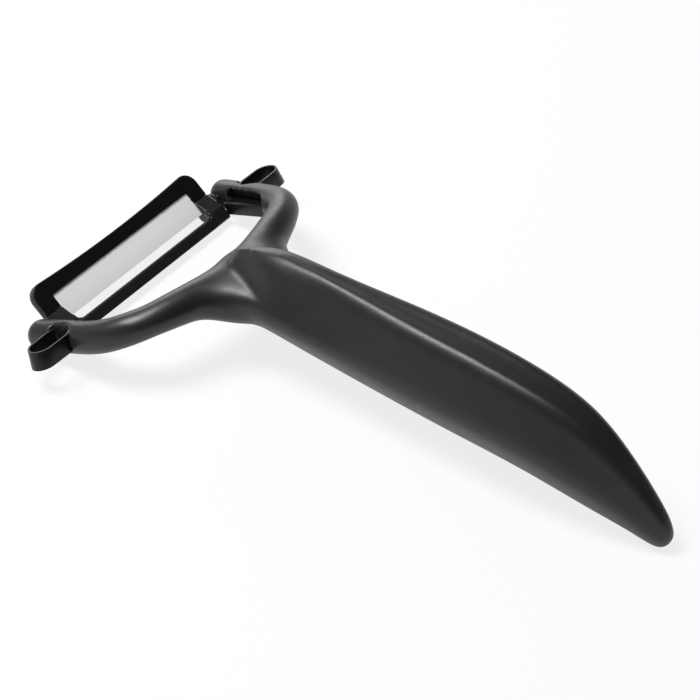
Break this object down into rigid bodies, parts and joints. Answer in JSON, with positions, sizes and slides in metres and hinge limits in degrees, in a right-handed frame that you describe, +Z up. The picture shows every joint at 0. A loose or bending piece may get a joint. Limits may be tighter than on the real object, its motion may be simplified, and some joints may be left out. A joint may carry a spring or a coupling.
{
  "type": "vegetable peeler",
  "caption": "Swivel peeler with a smooth one-piece handle, a wide fork, a swinging head with a white ceramic blade, and an eye remover loop outside each arm.",
  "frame": {"origin": "middle of the outline seen from above, on the surface that the peeler lies on", "axes": "+Y from the handle's tip towards the blade head, +X along the pivot axis to the right, +Z up"},
  "size_m": [0.0802, 0.1428, 0.0271],
  "materials": {
    "handle_plastic": "charcoal fine-matt moulded plastic",
    "eye_remover_plastic": "black half-gloss plastic",
    "carrier_plastic": "black half-gloss plastic",
    "clamp_plastic": "black half-gloss plastic",
    "blade_ceramic": "white ground zirconia ceramic",
    "pin_steel": "ground stainless steel"
  },
  "bodies": {
    "handle": {"handle_body": "handle_plastic", "handle_underside_cover": "handle_plastic", "eye_remover_left": "eye_remover_plastic", "eye_remover_right": "eye_remover_plastic"},
    "blade_head": {"blade_carrier": "carrier_plastic", "blade_clamp": "clamp_plastic", "ceramic_blade": "blade_ceramic", "pivot_pin_left": "pin_steel", "pivot_pin_right": "pin_steel"}
  },
  "joints": [
    {"name": "head_swivel", "type": "hinge", "parent": "handle", "child": "blade_head", "pos_m": [0, 0.06316, 0.00312], "axis": [1, 0, 0], "range_deg": [0, 110]}
  ]
}
